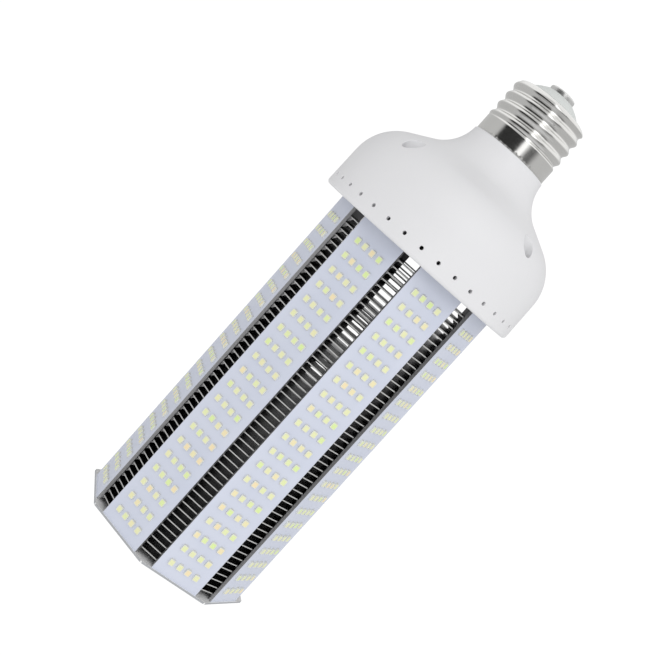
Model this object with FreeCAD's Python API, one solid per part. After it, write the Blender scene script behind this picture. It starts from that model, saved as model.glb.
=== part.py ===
"""A corn lamp: eight LED boards round a stack of stamped fins, under a moulded bell with a screw cap.

Millimetres. The lamp stands on its end plate at z = 0, with its axis on +Z and the cap on top.
Boards face 22.5, 67.5 ... degrees, so a gap between two boards faces -Y.
"""
import FreeCAD, Part
import math
import os

from FreeCAD import Vector

# LED boards, a ring of flat strips with a tongue at the top
BOARD_COUNT = 8
BOARD_WIDTH = 16.3
BOARD_THICKNESS = 1.0
BOARD_LENGTH = 115.8
BOARD_FACE_RADIUS = 28.1
TONGUE_WIDTH = 11.0
TONGUE_LENGTH = 4.0

# LED packages
LED_COLUMNS = 4
LED_COLUMN_PITCH = 3.0
LED_ROW_PITCH = 5.475
LED_LOWEST_ROW = 4.7
LED_BARE_TOP = 6.5
LED_WIDTH = 1.75
LED_HEIGHT = 2.0
LED_THICKNESS = 0.6

# Stamped fins, with their folded flanges stacked to one flat wall behind each board
FIN_PITCH = 2.25
FIN_SHEET = 0.35
FIN_RING_WIDTH = 9.6
FIN_FREE_TOP = 3.2
FLANGE_SETBACK = 0.4

# End plate at the bottom
END_PLATE_THICKNESS = 0.6
END_PLATE_PROUD = 0.4
END_PLATE_CORNER = 1.5
END_SLOT_WIDTH = 3.0
END_SLOT_INNER_RADIUS = 5.0
END_SLOT_EDGE = 14.6

# Mounting plate at the top of the boards
MOUNT_PLATE_THICKNESS = 1.5
MOUNT_PLATE_HOLE_INSET = 7.2
FIT_CLEARANCE = 0.15

# Long countersunk screws that tie the two plates together
STACK_SCREW_COUNT = 4
STACK_SCREW_INSET = 3.3
STACK_SCREW_RADIUS = 1.5
STACK_HEAD_RADIUS = 2.75
STACK_NUT_ACROSS_FLATS = 5.5
STACK_NUT_HEIGHT = 2.4
STACK_SCREW_SPARE = 1.0

# Bell housing
RIM_OVERHANG = 0.6
RIM_PROUD = 7.8
RIM_ROUNDING = 1.2
FLANK_TAPER_DEG = 1.3
SHOULDER_CORNER_HEIGHT = 22.5
SHOULDER_BEND = 16.0
SLOPE_DEG = 28.5
NECK_STEP = 0.35
NECK_BEND = 13.5
NECK_LENGTH = 7.18
HOUSING_WALL = 1.6

# Round vents above the rim
VENT_COUNT = 36
VENT_RADIUS = 0.6
VENT_HEIGHT = 3.9

# Housing screws, sunk in pockets on the shoulder
SCREW_POCKET_COUNT = 4
SCREW_POCKET_EDGE = 5.6
SCREW_POCKET_CLEARANCE = 0.3
POCKET_WALL = 1.6
SCREW_SEAT_HEIGHT = 5.0
HOUSING_SCREW_RADIUS = 1.5
HOUSING_SCREW_HEAD_RADIUS = 2.2
HOUSING_SCREW_HEAD_HEIGHT = 1.6

# Screw cap: a rolled brass shell of the 27 mm size
CAP_SHEET = 0.3
BAND_STEP = 0.2
BAND_LENGTH = 5.7
THREAD_CREST_RADIUS = 13.1
THREAD_DEPTH = 0.9
THREAD_PITCH = 3.62
THREAD_START_DEG = 111.0
SHELL_HEIGHT = 19.6
SHELL_ROUND_HEIGHT = 2.3
SHELL_ROUND_WIDTH = 2.9
SHELL_LIP_WIDTH = 1.3

# Insulator and centre contact
INSULATOR_LIP = 0.8
INSULATOR_PLUG_LENGTH = 1.2
INSULATOR_STEP = 0.3
INSULATOR_CONE_HEIGHT = 3.0
CONTACT_RADIUS = 4.45
CONTACT_THICKNESS = 1.7
CONTACT_STEM_RADIUS = 1.2
CONTACT_STEM_BELOW = 1.0

# Driver board on its spacers inside the bell
STANDOFF_COUNT = 4
STANDOFF_EDGE = 3.5
STANDOFF_RADIUS = 2.5
STANDOFF_HEIGHT = 8.0
DRIVER_SCREW_RADIUS = 1.25
DRIVER_SCREW_HEAD_RADIUS = 2.2
DRIVER_SCREW_HEAD_HEIGHT = 1.4
DRIVER_SCREW_DEPTH = 5.0
DRIVER_BOARD_CLEARANCE = 2.2
DRIVER_BOARD_THICKNESS = 1.6

# Driver components, placed from the board's centre
TRANSFORMER_X = -6.0
TRANSFORMER_Y = 4.0
TRANSFORMER_DEPTH = 7.0
TRANSFORMER_HEIGHT = 14.0
TRANSFORMER_LEG = 5.4
TRANSFORMER_YOKE = 2.7
TRANSFORMER_WINDOW = 3.6
COIL_OVERHANG = 3.0
COIL_ROUNDING = 2.5
CAN_CIRCLE = 12.4
CAN_SPREAD_DEG = 45.0
CAN_ROUNDING = 0.6
INPUT_CAN_RADIUS = 4.0
INPUT_CAN_HEIGHT = 12.0
OUTPUT_CAN_RADIUS = 3.15
OUTPUT_CAN_HEIGHT = 14.0
CHOKE_X = -1.5
CHOKE_Y = -13.0
CHOKE_RADIUS = 4.5
CHOKE_HEIGHT = 9.0
CHOKE_FLANGE = 1.3
CHOKE_WAIST_RADIUS = 2.2
CHOKE_WINDING_RADIUS = 3.9
RECTIFIER_X = -7.5
RECTIFIER_Y = -6.5
RECTIFIER_LENGTH = 8.0
RECTIFIER_DEPTH = 3.4
RECTIFIER_HEIGHT = 6.5
FUSE_X = 2.0
FUSE_Y = 16.0
FUSE_RADIUS = 1.8
FUSE_HEIGHT = 9.0

# Leads
LEAD_RADIUS = 0.6
LEAD_BEND = 1.5
LEAD_RISE = 12.0
LEAD_NECK_DROP = 3.0
LIVE_LEAD_X = 4.5
LIVE_LEAD_Y = 12.0
LIVE_LEAD_NECK_X = 2.0
LIVE_LEAD_NECK_Y = 2.0
LIVE_LEAD_END = 8.0
NEUTRAL_LEAD_X = -1.5
NEUTRAL_LEAD_Y = 13.0
NEUTRAL_LEAD_NECK_X = -5.0
NEUTRAL_LEAD_NECK_Y = 2.0
JUMPER_CLEARANCE = 1.1
SUPPLY_LEAD_EDGE = 2.0

# Levels, counts and radii that follow from the sizes above
SECTOR_DEG = 360.0 / BOARD_COUNT
FRONT_GAP_DEG = -90.0
END_PLATE_TOP = END_PLATE_THICKNESS
BOARD_TOP = END_PLATE_TOP + BOARD_LENGTH
BOARD_BACK_RADIUS = BOARD_FACE_RADIUS - BOARD_THICKNESS
LED_ROWS = 1 + int((BOARD_LENGTH - LED_LOWEST_ROW - LED_BARE_TOP) / LED_ROW_PITCH)
FIN_FACE_RADIUS = BOARD_BACK_RADIUS - FIN_SHEET
FIN_HOLE_RADIUS = (FIN_FACE_RADIUS - FIN_RING_WIDTH) / math.cos(math.radians(SECTOR_DEG / 2))
FIN_COUNT = int((BOARD_LENGTH - FIN_FREE_TOP) / FIN_PITCH)
FIN_STACK_TOP = END_PLATE_TOP + FIN_COUNT * FIN_PITCH
STACK_SCREW_CIRCLE = FIN_HOLE_RADIUS - STACK_SCREW_INSET
END_SLOT_OUTER_RADIUS = BOARD_FACE_RADIUS - END_SLOT_EDGE
MOUNT_PLATE_HOLE_RADIUS = STACK_SCREW_CIRCLE - MOUNT_PLATE_HOLE_INSET
MOUNT_PLATE_TOP = BOARD_TOP + MOUNT_PLATE_THICKNESS
RIM_RADIUS = BOARD_FACE_RADIUS + RIM_PROUD
RIM_BOTTOM = BOARD_TOP - RIM_OVERHANG
VENT_LEVEL = RIM_BOTTOM + VENT_HEIGHT
SCREW_SEAT_LEVEL = MOUNT_PLATE_TOP + SCREW_SEAT_HEIGHT
SCREW_POCKET_CIRCLE = RIM_RADIUS - SCREW_POCKET_EDGE
SCREW_POCKET_RADIUS = HOUSING_SCREW_HEAD_RADIUS + SCREW_POCKET_CLEARANCE
SCREW_BOSS_RADIUS = SCREW_POCKET_RADIUS + POCKET_WALL
BAND_RADIUS = THREAD_CREST_RADIUS - BAND_STEP
NECK_RADIUS = BAND_RADIUS + NECK_STEP
SHOULDER_LEVEL = RIM_BOTTOM + SHOULDER_CORNER_HEIGHT
SHOULDER_RADIUS = RIM_RADIUS - SHOULDER_CORNER_HEIGHT * math.tan(math.radians(FLANK_TAPER_DEG))
NECK_LEVEL = SHOULDER_LEVEL + (SHOULDER_RADIUS - NECK_RADIUS) * math.tan(math.radians(SLOPE_DEG))
NECK_TOP = NECK_LEVEL + NECK_LENGTH
BAND_TOP = NECK_TOP + BAND_LENGTH
SHELL_TOP = NECK_TOP + SHELL_HEIGHT
SHELL_FLAT_RADIUS = THREAD_CREST_RADIUS - SHELL_ROUND_WIDTH
SHELL_MOUTH_RADIUS = SHELL_FLAT_RADIUS - SHELL_LIP_WIDTH
SPIGOT_LENGTH = BAND_LENGTH - 2 * (LEAD_RADIUS + FIT_CLEARANCE)
SPIGOT_RADIUS = BAND_RADIUS - CAP_SHEET - FIT_CLEARANCE / 3
SPIGOT_BORE = SPIGOT_RADIUS - HOUSING_WALL
INSULATOR_TOP = SHELL_TOP + INSULATOR_STEP + INSULATOR_CONE_HEIGHT
STEM_BOTTOM = SHELL_TOP - CAP_SHEET - INSULATOR_PLUG_LENGTH - CONTACT_STEM_BELOW
DRIVER_BOARD_RADIUS = SCREW_POCKET_CIRCLE - SCREW_BOSS_RADIUS - DRIVER_BOARD_CLEARANCE
DRIVER_BOARD_LEVEL = MOUNT_PLATE_TOP + STANDOFF_HEIGHT
DRIVER_TOP = DRIVER_BOARD_LEVEL + DRIVER_BOARD_THICKNESS
STANDOFF_CIRCLE = DRIVER_BOARD_RADIUS - STANDOFF_EDGE
JUMPER_GAP_RADIUS = SCREW_POCKET_CIRCLE - SCREW_BOSS_RADIUS - LEAD_RADIUS - JUMPER_CLEARANCE

AXIS = Vector(0, 0, 1)
ORIGIN = Vector(0, 0, 0)


def board_angle(index):
    """Direction in degrees that board number index faces."""
    return FRONT_GAP_DEG + (index + 0.5) * SECTOR_DEG


def turned(shape, degrees):
    """A copy of the shape turned about the lamp's axis."""
    copy = shape.copy()
    copy.rotate(ORIGIN, AXIS, degrees)
    return copy


def polar(radius, degrees, z=0.0):
    """The point at a radius, a direction and a height."""
    angle = math.radians(degrees)
    return Vector(radius * math.cos(angle), radius * math.sin(angle), z)


def rod(radius, bottom, top, x=0.0, y=0.0):
    """An upright cylinder between two heights."""
    return Part.makeCylinder(radius, top - bottom, Vector(x, y, bottom), AXIS)


def ring_of(shape, count, first_deg=0.0):
    """Copies of one shape spread evenly round the axis."""
    return [turned(shape, first_deg + index * 360.0 / count) for index in range(count)]


def box(size_x, size_y, size_z, centre_x, centre_y, bottom):
    """A block set by its plan centre and its bottom."""
    corner = Vector(centre_x - size_x / 2, centre_y - size_y / 2, bottom)
    return Part.makeBox(size_x, size_y, size_z, corner)


def revolved(edges):
    """The solid that a closed outline in the XZ plane sweeps round the axis."""
    face = Part.Face(Part.Wire(edges))
    return face.revolve(ORIGIN, AXIS, 360)


def outline(points):
    """Straight edges through (radius, height) points, closed."""
    corners = [Vector(r, 0, z) for r, z in points]
    return Part.makePolygon(corners + corners[:1]).Edges


def ring_corners(face_radius, width):
    """Corners of the many-sided outline whose long sides lie behind the boards."""
    corners = []
    for index in range(BOARD_COUNT):
        for side in (-0.5, 0.5):
            corner = Vector(face_radius, side * width, 0)
            corner = FreeCAD.Rotation(AXIS, board_angle(index)).multVec(corner)
            corners.append(corner)
    return corners


def plate(corners, bottom, thickness):
    """A flat plate with the given outline."""
    face = Part.Face(Part.makePolygon(corners + corners[:1]))
    face.translate(Vector(0, 0, bottom))
    return face.extrude(Vector(0, 0, thickness))


def bent_edges(before, corner, after, radius):
    """A line to a rounded corner, and the arc: returns the edges and the arc's far end."""
    first = (corner - before).normalize()
    second = (after - corner).normalize()
    turn = math.acos(max(-1.0, min(1.0, first.dot(second))))
    reach = radius * math.tan(turn / 2)
    start = corner - first * reach
    end = corner + second * reach
    towards_centre = (second - first).normalize()
    middle = corner + towards_centre * (radius / math.cos(turn / 2) - radius)
    edges = [Part.LineSegment(before, start).toShape(), Part.Arc(start, middle, end).toShape()]
    return edges, end


def lead(points):
    """A round wire along the points, bent round each corner."""
    edges = []
    start = points[0]
    for corner, after in zip(points[1:], points[2:]):
        bend, start = bent_edges(start, corner, after, LEAD_BEND)
        edges += bend
    edges.append(Part.LineSegment(start, points[-1]).toShape())
    section = Part.Wire(Part.Circle(points[0], points[1] - points[0], LEAD_RADIUS).toShape())
    return Part.Wire(edges).makePipeShell([section], True, False)


# Heat sink

def end_plate():
    """The thin bottom plate: an octagon, a little proud of the boards, with vents and screw holes."""
    reach = (BOARD_FACE_RADIUS + END_PLATE_PROUD) / math.cos(math.radians(SECTOR_DEG / 2))
    corners = [polar(reach, FRONT_GAP_DEG + n * SECTOR_DEG) for n in range(BOARD_COUNT)]
    body = plate(corners, 0, END_PLATE_THICKNESS)
    upright = [e for e in body.Edges if e.BoundBox.ZLength > END_PLATE_THICKNESS / 2]
    body = body.makeFillet(END_PLATE_CORNER, upright)
    length = END_SLOT_OUTER_RADIUS - END_SLOT_INNER_RADIUS - END_SLOT_WIDTH
    middle = (END_SLOT_OUTER_RADIUS + END_SLOT_INNER_RADIUS) / 2
    slot = box(length, END_SLOT_WIDTH, END_PLATE_THICKNESS, middle, 0, 0)
    for x in (middle - length / 2, middle + length / 2):
        slot = slot.fuse(rod(END_SLOT_WIDTH / 2, 0, END_PLATE_THICKNESS, x))
    head_height = STACK_HEAD_RADIUS - STACK_SCREW_RADIUS
    sink = Part.makeCone(
        STACK_HEAD_RADIUS, STACK_SCREW_RADIUS, head_height, Vector(STACK_SCREW_CIRCLE, 0, 0), AXIS
    )
    slots = ring_of(slot, BOARD_COUNT, FRONT_GAP_DEG)
    sinks = ring_of(sink, STACK_SCREW_COUNT, board_angle(1))
    bore = rod(STACK_SCREW_RADIUS, 0, END_PLATE_THICKNESS, STACK_SCREW_CIRCLE)
    bores = ring_of(bore, STACK_SCREW_COUNT, board_angle(1))
    return body.cut(slots + sinks + bores)


def fins():
    """The stack of stamped plates, each with an eight-sided hole in the middle."""
    outer = ring_corners(FIN_FACE_RADIUS, BOARD_WIDTH)
    inner = [polar(FIN_HOLE_RADIUS, FRONT_GAP_DEG + n * SECTOR_DEG) for n in range(BOARD_COUNT)]
    fin = plate(outer, 0, FIN_SHEET).cut(plate(inner, 0, FIN_SHEET))
    stack = []
    for index in range(FIN_COUNT):
        copy = fin.copy()
        copy.translate(Vector(0, 0, END_PLATE_TOP + (index + 1) * FIN_PITCH - FIN_SHEET))
        stack.append(copy)
    return stack


def fin_flanges():
    """The folded flanges of all fins, which stack to one thin wall behind each board."""
    width = BOARD_WIDTH - 2 * FLANGE_SETBACK
    wall = Part.makeBox(
        FIN_SHEET, width, FIN_STACK_TOP - END_PLATE_TOP,
        Vector(FIN_FACE_RADIUS, -width / 2, END_PLATE_TOP)
    )
    return ring_of(wall, BOARD_COUNT, board_angle(0))


def mounting_plate():
    """The disc under the bell, slotted for the board tongues."""
    radius = RIM_RADIUS - HOUSING_WALL - FIT_CLEARANCE
    body = rod(radius, BOARD_TOP, MOUNT_PLATE_TOP)
    slot = Part.makeBox(
        BOARD_THICKNESS + 2 * FIT_CLEARANCE,
        TONGUE_WIDTH + 2 * FIT_CLEARANCE,
        MOUNT_PLATE_THICKNESS,
        Vector(BOARD_BACK_RADIUS - FIT_CLEARANCE, -TONGUE_WIDTH / 2 - FIT_CLEARANCE, BOARD_TOP),
    )
    tools = ring_of(slot, BOARD_COUNT, board_angle(0))
    tools.append(rod(MOUNT_PLATE_HOLE_RADIUS, BOARD_TOP, MOUNT_PLATE_TOP))
    stack_hole = rod(STACK_SCREW_RADIUS, BOARD_TOP, MOUNT_PLATE_TOP, STACK_SCREW_CIRCLE)
    tools += ring_of(stack_hole, STACK_SCREW_COUNT, board_angle(1))
    screw_hole = rod(HOUSING_SCREW_RADIUS, BOARD_TOP, MOUNT_PLATE_TOP, SCREW_POCKET_CIRCLE)
    tools += ring_of(screw_hole, SCREW_POCKET_COUNT, SECTOR_DEG)
    stud_hole = rod(DRIVER_SCREW_RADIUS, BOARD_TOP, MOUNT_PLATE_TOP, STANDOFF_CIRCLE)
    tools += ring_of(stud_hole, STANDOFF_COUNT, board_angle(0))
    return body.cut(tools)


def stack_screws():
    """Four long countersunk screws through the hollow core."""
    head_height = STACK_HEAD_RADIUS - STACK_SCREW_RADIUS
    centre = Vector(STACK_SCREW_CIRCLE, 0, 0)
    head = Part.makeCone(STACK_HEAD_RADIUS, STACK_SCREW_RADIUS, head_height, centre, AXIS)
    top = MOUNT_PLATE_TOP + STACK_NUT_HEIGHT + STACK_SCREW_SPARE
    screw = head.fuse(rod(STACK_SCREW_RADIUS, 0, top, STACK_SCREW_CIRCLE)).removeSplitter()
    return ring_of(screw, STACK_SCREW_COUNT, board_angle(1))


def stack_nuts():
    """Hexagon nuts on the long screws, on top of the mounting plate."""
    corner = STACK_NUT_ACROSS_FLATS / math.sqrt(3)
    corners = [polar(corner, 60 * n) + Vector(STACK_SCREW_CIRCLE, 0, 0) for n in range(6)]
    nut = plate(corners, MOUNT_PLATE_TOP, STACK_NUT_HEIGHT)
    nut = nut.cut(
        rod(STACK_SCREW_RADIUS, MOUNT_PLATE_TOP, MOUNT_PLATE_TOP + STACK_NUT_HEIGHT, STACK_SCREW_CIRCLE)
    )
    return ring_of(nut, STACK_SCREW_COUNT, board_angle(1))


# LED boards

def led_board(index):
    """One aluminium board: a long strip with a narrower tongue through the mounting plate."""
    half = BOARD_WIDTH / 2
    tongue = TONGUE_WIDTH / 2
    tip = BOARD_TOP + TONGUE_LENGTH
    corners = [
        (-half, END_PLATE_TOP), (half, END_PLATE_TOP), (half, BOARD_TOP), (tongue, BOARD_TOP),
        (tongue, tip), (-tongue, tip), (-tongue, BOARD_TOP), (-half, BOARD_TOP),
    ]
    points = [Vector(BOARD_BACK_RADIUS, y, z) for y, z in corners]
    strip = Part.Face(Part.makePolygon(points + points[:1])).extrude(Vector(BOARD_THICKNESS, 0, 0))
    return [turned(strip, board_angle(index))]


def leds(index):
    """The packages on one board, in rows of four."""
    packages = []
    for row in range(LED_ROWS):
        z = END_PLATE_TOP + LED_LOWEST_ROW + row * LED_ROW_PITCH - LED_HEIGHT / 2
        for column in range(LED_COLUMNS):
            y = (column - (LED_COLUMNS - 1) / 2) * LED_COLUMN_PITCH - LED_WIDTH / 2
            package = Part.makeBox(
                LED_THICKNESS, LED_WIDTH, LED_HEIGHT, Vector(BOARD_FACE_RADIUS, y, z)
            )
            packages.append(turned(package, board_angle(index)))
    return packages


# Bell housing

def inset_corner(before, corner, after, inset):
    """The corner of two lines that were both moved inwards by the inset."""
    first = (corner - before).normalize()
    second = (after - corner).normalize()
    normals = [Vector(-d.z, 0, d.x) for d in (first, second)]
    share = inset / (1 + normals[0].dot(normals[1]))
    return corner + (normals[0] + normals[1]) * share


def bell(inset):
    """The bell's outer form, moved inwards by the inset and closed along the axis."""
    rim = Vector(RIM_RADIUS, 0, RIM_BOTTOM)
    shoulder = Vector(SHOULDER_RADIUS, 0, SHOULDER_LEVEL)
    neck = Vector(NECK_RADIUS, 0, NECK_LEVEL)
    top = Vector(NECK_RADIUS, 0, NECK_TOP)
    inner_rim = rim - Vector(inset, 0, 0)
    inner_shoulder = inset_corner(rim, shoulder, neck, inset)
    inner_neck = inset_corner(shoulder, neck, neck + AXIS, inset)
    inner_top = top - Vector(inset, 0, 0)
    flank, bend_end = bent_edges(inner_rim, inner_shoulder, inner_neck, SHOULDER_BEND - inset)
    neck_edges, neck_end = bent_edges(bend_end, inner_neck, inner_neck + AXIS, NECK_BEND + inset)
    upper = Vector(inner_top.x, 0, max(NECK_TOP, neck_end.z))
    closing = [neck_end] if upper.z - neck_end.z < 1e-6 else [neck_end, upper]
    closing += [Vector(0, 0, upper.z), Vector(0, 0, RIM_BOTTOM), inner_rim]
    edges = flank + neck_edges + Part.makePolygon(closing).Edges
    return revolved(edges)


def housing():
    """The moulded bell: vents, screw bosses, pockets and the spigot for the cap."""
    outer = bell(0)
    spare = rod(RIM_RADIUS, NECK_TOP, NECK_TOP + NECK_BEND)
    outer = outer.cut(spare)
    outer = outer.makeFillet(RIM_ROUNDING, [rim_edge(outer)])
    hollow = bell(HOUSING_WALL).cut(spare)
    pocket_bottom = SCREW_SEAT_LEVEL
    boss = rod(SCREW_BOSS_RADIUS, MOUNT_PLATE_TOP, NECK_TOP, SCREW_POCKET_CIRCLE)
    bosses = ring_of(boss, SCREW_POCKET_COUNT, SECTOR_DEG)
    body = outer.cut(hollow.cut(bosses))
    body = body.fuse(rod(SPIGOT_RADIUS, NECK_TOP, NECK_TOP + SPIGOT_LENGTH))
    vent = Part.makeCylinder(
        VENT_RADIUS, 2 * HOUSING_WALL, Vector(RIM_RADIUS - 1.5 * HOUSING_WALL, 0, VENT_LEVEL), Vector(1, 0, 0)
    )
    pocket = rod(SCREW_POCKET_RADIUS, pocket_bottom, NECK_TOP, SCREW_POCKET_CIRCLE)
    bore = rod(HOUSING_SCREW_RADIUS, MOUNT_PLATE_TOP, NECK_TOP, SCREW_POCKET_CIRCLE)
    tools = ring_of(vent, VENT_COUNT, FRONT_GAP_DEG)
    tools += ring_of(pocket, SCREW_POCKET_COUNT, SECTOR_DEG)
    tools += ring_of(bore, SCREW_POCKET_COUNT, SECTOR_DEG)
    tools.append(rod(SPIGOT_BORE, NECK_TOP - 2 * HOUSING_WALL, NECK_TOP + SPIGOT_LENGTH))
    return body.cut(tools).removeSplitter()


def rim_edge(shape):
    """The outer circle at the bell's lower edge."""
    circles = [e for e in shape.Edges if abs(e.BoundBox.ZMax - RIM_BOTTOM) < 1e-6]
    return max(circles, key=lambda edge: edge.BoundBox.XMax)


def housing_screws():
    """Pan-head screws at the bottom of the pockets."""
    head = rod(
        HOUSING_SCREW_HEAD_RADIUS, SCREW_SEAT_LEVEL, SCREW_SEAT_LEVEL + HOUSING_SCREW_HEAD_HEIGHT,
        SCREW_POCKET_CIRCLE
    )
    screw = head.fuse(rod(HOUSING_SCREW_RADIUS, BOARD_TOP, SCREW_SEAT_LEVEL, SCREW_POCKET_CIRCLE))
    return ring_of(screw, SCREW_POCKET_COUNT, SECTOR_DEG)


# Screw cap

def thread_bar(sheet):
    """A threaded bar: a circle carried along a narrow helix without turning."""
    amplitude = THREAD_DEPTH / 2
    radius = THREAD_CREST_RADIUS - amplitude - sheet
    start_z = BAND_TOP - THREAD_PITCH
    height = SHELL_TOP - start_z + THREAD_PITCH
    helix = Part.makeHelix(THREAD_PITCH, height, amplitude)
    helix.translate(Vector(0, 0, start_z))
    circle = Part.Wire(Part.Circle(Vector(amplitude, 0, start_z), AXIS, radius).toShape())
    sweep = Part.BRepOffsetAPI.MakePipeShell(Part.Wire(helix.Edges))
    sweep.setTrihedronMode(ORIGIN, AXIS)
    sweep.add(circle)
    sweep.build()
    sweep.makeSolid()
    return turned(Part.Solid(sweep.shape()), THREAD_START_DEG)


def shell_form(sheet):
    """The cap's form, one sheet smaller if asked: a plain band, then the thread, rounded on top."""
    reach = THREAD_CREST_RADIUS + CAP_SHEET
    shoulder = SHELL_TOP - SHELL_ROUND_HEIGHT
    squares = SHELL_FLAT_RADIUS ** 2 + SHELL_TOP ** 2 - reach ** 2 - shoulder ** 2
    centre_z = squares / (2 * SHELL_ROUND_HEIGHT)
    ball_radius = math.hypot(SHELL_FLAT_RADIUS, SHELL_TOP - centre_z)
    ball = Part.makeSphere(ball_radius - sheet, Vector(0, 0, centre_z))
    envelope = rod(reach, BAND_TOP, SHELL_TOP - sheet).common(ball)
    band = rod(BAND_RADIUS - sheet, NECK_TOP, BAND_TOP)
    return band.fuse(thread_bar(sheet).common(envelope))


def screw_shell():
    """The rolled shell: the outer form less the same form one sheet smaller, open at both ends."""
    shell = shell_form(0).cut(shell_form(CAP_SHEET))
    return shell.cut(rod(SHELL_MOUTH_RADIUS, SHELL_TOP - 2 * CAP_SHEET, SHELL_TOP))


def cap_insulator():
    """The pale moulded cone that closes the shell and holds the contact."""
    under = SHELL_TOP - CAP_SHEET
    points = [
        (CONTACT_STEM_RADIUS, under - INSULATOR_PLUG_LENGTH),
        (SHELL_MOUTH_RADIUS + INSULATOR_LIP, under - INSULATOR_PLUG_LENGTH),
        (SHELL_MOUTH_RADIUS + INSULATOR_LIP, under),
        (SHELL_MOUTH_RADIUS, under),
        (SHELL_MOUTH_RADIUS, SHELL_TOP + INSULATOR_STEP),
        (CONTACT_RADIUS + INSULATOR_STEP, INSULATOR_TOP),
        (CONTACT_STEM_RADIUS, INSULATOR_TOP),
    ]
    return revolved(outline(points))


def centre_contact():
    """The round contact with its stem through the insulator."""
    button = rod(CONTACT_RADIUS, INSULATOR_TOP, INSULATOR_TOP + CONTACT_THICKNESS)
    rim = max(button.Edges, key=lambda e: e.BoundBox.ZMin)
    button = button.makeFillet(CONTACT_THICKNESS * 0.4, [rim])
    return button.fuse(rod(CONTACT_STEM_RADIUS, STEM_BOTTOM, INSULATOR_TOP)).removeSplitter()


# Driver inside the bell

def driver_standoffs():
    """Round spacers with a stud in the mounting plate and a blind bore for the driver's screws."""
    body = rod(STANDOFF_RADIUS, MOUNT_PLATE_TOP, DRIVER_BOARD_LEVEL, STANDOFF_CIRCLE)
    stud = rod(DRIVER_SCREW_RADIUS, BOARD_TOP, MOUNT_PLATE_TOP, STANDOFF_CIRCLE)
    bore = rod(
        DRIVER_SCREW_RADIUS, DRIVER_BOARD_LEVEL - DRIVER_SCREW_DEPTH, DRIVER_BOARD_LEVEL, STANDOFF_CIRCLE
    )
    return ring_of(body.fuse(stud).cut(bore), STANDOFF_COUNT, board_angle(0))


def driver_board():
    """The round circuit board on its spacers."""
    body = rod(DRIVER_BOARD_RADIUS, DRIVER_BOARD_LEVEL, DRIVER_TOP)
    hole = rod(DRIVER_SCREW_RADIUS, DRIVER_BOARD_LEVEL, DRIVER_TOP, STANDOFF_CIRCLE)
    return body.cut(ring_of(hole, STANDOFF_COUNT, board_angle(0)))


def driver_screws():
    """Screws that hold the circuit board."""
    bottom = DRIVER_BOARD_LEVEL - DRIVER_SCREW_DEPTH
    shank = rod(DRIVER_SCREW_RADIUS, bottom, DRIVER_TOP, STANDOFF_CIRCLE)
    head = rod(
        DRIVER_SCREW_HEAD_RADIUS, DRIVER_TOP, DRIVER_TOP + DRIVER_SCREW_HEAD_HEIGHT, STANDOFF_CIRCLE
    )
    return ring_of(head.fuse(shank), STANDOFF_COUNT, board_angle(0))


def transformer_core():
    """Two E-shaped ferrite halves that close round the coil."""
    width = TRANSFORMER_LEG + 2 * (TRANSFORMER_WINDOW + TRANSFORMER_YOKE)
    core = box(
        width, TRANSFORMER_DEPTH, TRANSFORMER_HEIGHT, TRANSFORMER_X, TRANSFORMER_Y, DRIVER_TOP
    )
    for side in (-0.5, 0.5):
        x = TRANSFORMER_X + side * (TRANSFORMER_LEG + TRANSFORMER_WINDOW)
        core = core.cut(window_block(TRANSFORMER_WINDOW, TRANSFORMER_DEPTH, x))
    return core


def window_block(width, depth, x):
    """A block as high as the core's windows."""
    height = TRANSFORMER_HEIGHT - 2 * TRANSFORMER_YOKE
    return box(width, depth, height, x, TRANSFORMER_Y, DRIVER_TOP + TRANSFORMER_YOKE)


def transformer_coil():
    """The winding round the middle leg."""
    width = TRANSFORMER_LEG + 2 * TRANSFORMER_WINDOW
    coil = window_block(width, TRANSFORMER_DEPTH + 2 * COIL_OVERHANG, TRANSFORMER_X)
    leg = window_block(TRANSFORMER_LEG, TRANSFORMER_DEPTH, TRANSFORMER_X)
    upright = [e for e in coil.Edges if abs(e.BoundBox.ZLength - coil.BoundBox.ZLength) < 1e-6]
    return coil.makeFillet(COIL_ROUNDING, upright).cut(leg)


def capacitor(radius, height, direction):
    """An upright can capacitor with a rounded top edge."""
    can = rod(radius, DRIVER_TOP, DRIVER_TOP + height, CAN_CIRCLE)
    top = max(can.Edges, key=lambda e: e.BoundBox.ZMin)
    return turned(can.makeFillet(CAN_ROUNDING, [top]), direction)


def input_capacitor():
    """The mains side's capacitor."""
    return capacitor(INPUT_CAN_RADIUS, INPUT_CAN_HEIGHT, -CAN_SPREAD_DEG)


def output_capacitors():
    """The two capacitors on the LED side."""
    return [capacitor(OUTPUT_CAN_RADIUS, OUTPUT_CAN_HEIGHT, turn) for turn in (0, CAN_SPREAD_DEG)]


def choke():
    """A drum core: two flanges with a narrow waist between them."""
    top = DRIVER_TOP + CHOKE_HEIGHT
    points = [
        (0, DRIVER_TOP), (CHOKE_RADIUS, DRIVER_TOP), (CHOKE_RADIUS, DRIVER_TOP + CHOKE_FLANGE),
        (CHOKE_WAIST_RADIUS, DRIVER_TOP + CHOKE_FLANGE), (CHOKE_WAIST_RADIUS, top - CHOKE_FLANGE),
        (CHOKE_RADIUS, top - CHOKE_FLANGE), (CHOKE_RADIUS, top), (0, top),
    ]
    drum = revolved(outline(points))
    drum.translate(Vector(CHOKE_X, CHOKE_Y, 0))
    return drum


def choke_winding():
    """The wire round the choke's waist, as one sleeve."""
    bottom = DRIVER_TOP + CHOKE_FLANGE
    top = DRIVER_TOP + CHOKE_HEIGHT - CHOKE_FLANGE
    sleeve = rod(CHOKE_WINDING_RADIUS, bottom, top, CHOKE_X, CHOKE_Y)
    return sleeve.cut(rod(CHOKE_WAIST_RADIUS, bottom, top, CHOKE_X, CHOKE_Y))


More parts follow.
